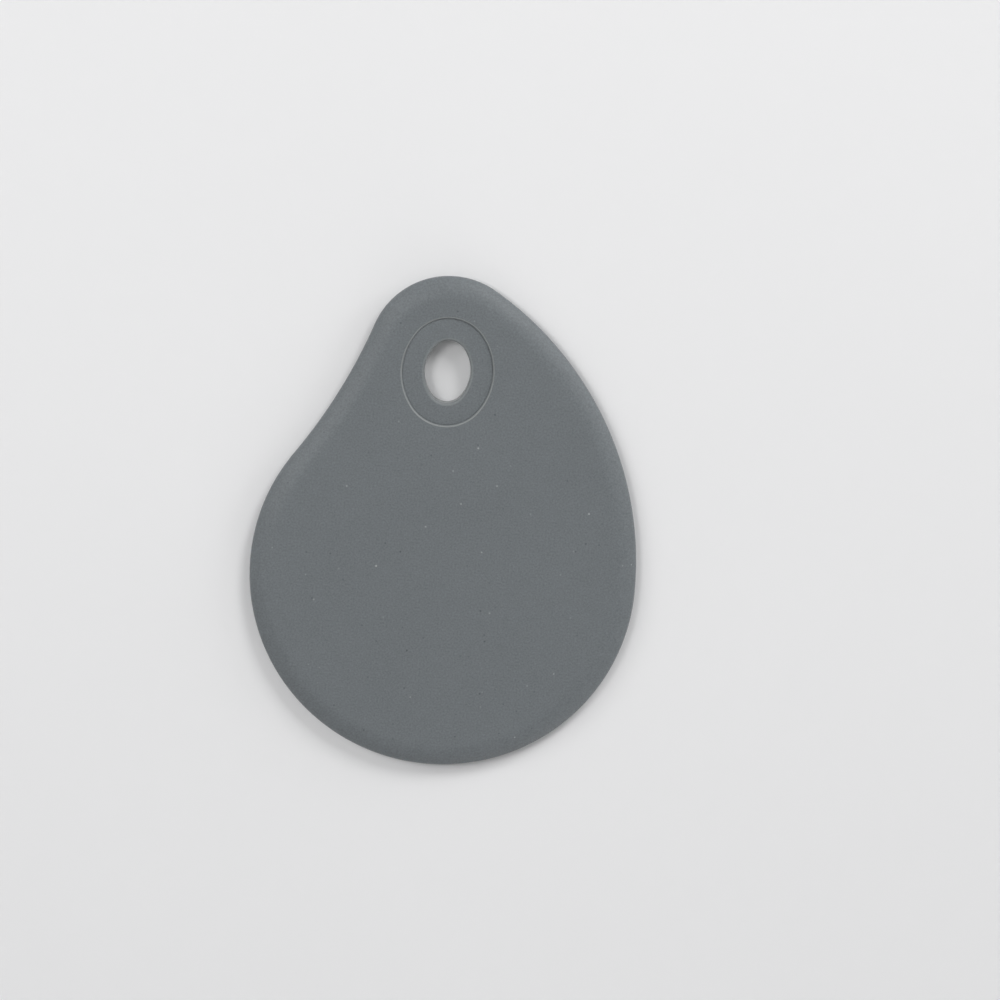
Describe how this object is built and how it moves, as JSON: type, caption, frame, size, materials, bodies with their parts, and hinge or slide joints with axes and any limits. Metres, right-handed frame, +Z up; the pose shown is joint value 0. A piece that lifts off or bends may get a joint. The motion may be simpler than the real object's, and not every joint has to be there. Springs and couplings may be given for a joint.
{
  "type": "bowl scraper",
  "caption": "Flat pear-shaped silicone scraper for bowls and dough, with thin arched borders, a stiff plate inside and an oval hang hole in its own moulded surround.",
  "frame": {"origin": "under the middle of the outline, on the surface that the scraper lies on", "axes": "+Z up through the thickness, out of the front face; +Y along the length, towards the hang hole; +X across the width, to the right as the front face is seen with the hang hole at the top"},
  "size_m": [0.106, 0.1356, 0.006],
  "materials": {
    "jacket_silicone": "matt moulded silicone, mid grey",
    "surround_silicone": "matt moulded silicone, mid grey",
    "core_steel": "plain rolled stainless sheet"
  },
  "bodies": {
    "root": {"silicone_jacket": "jacket_silicone", "hole_surround": "surround_silicone", "core_plate": "core_steel"}
  },
  "joints": []
}
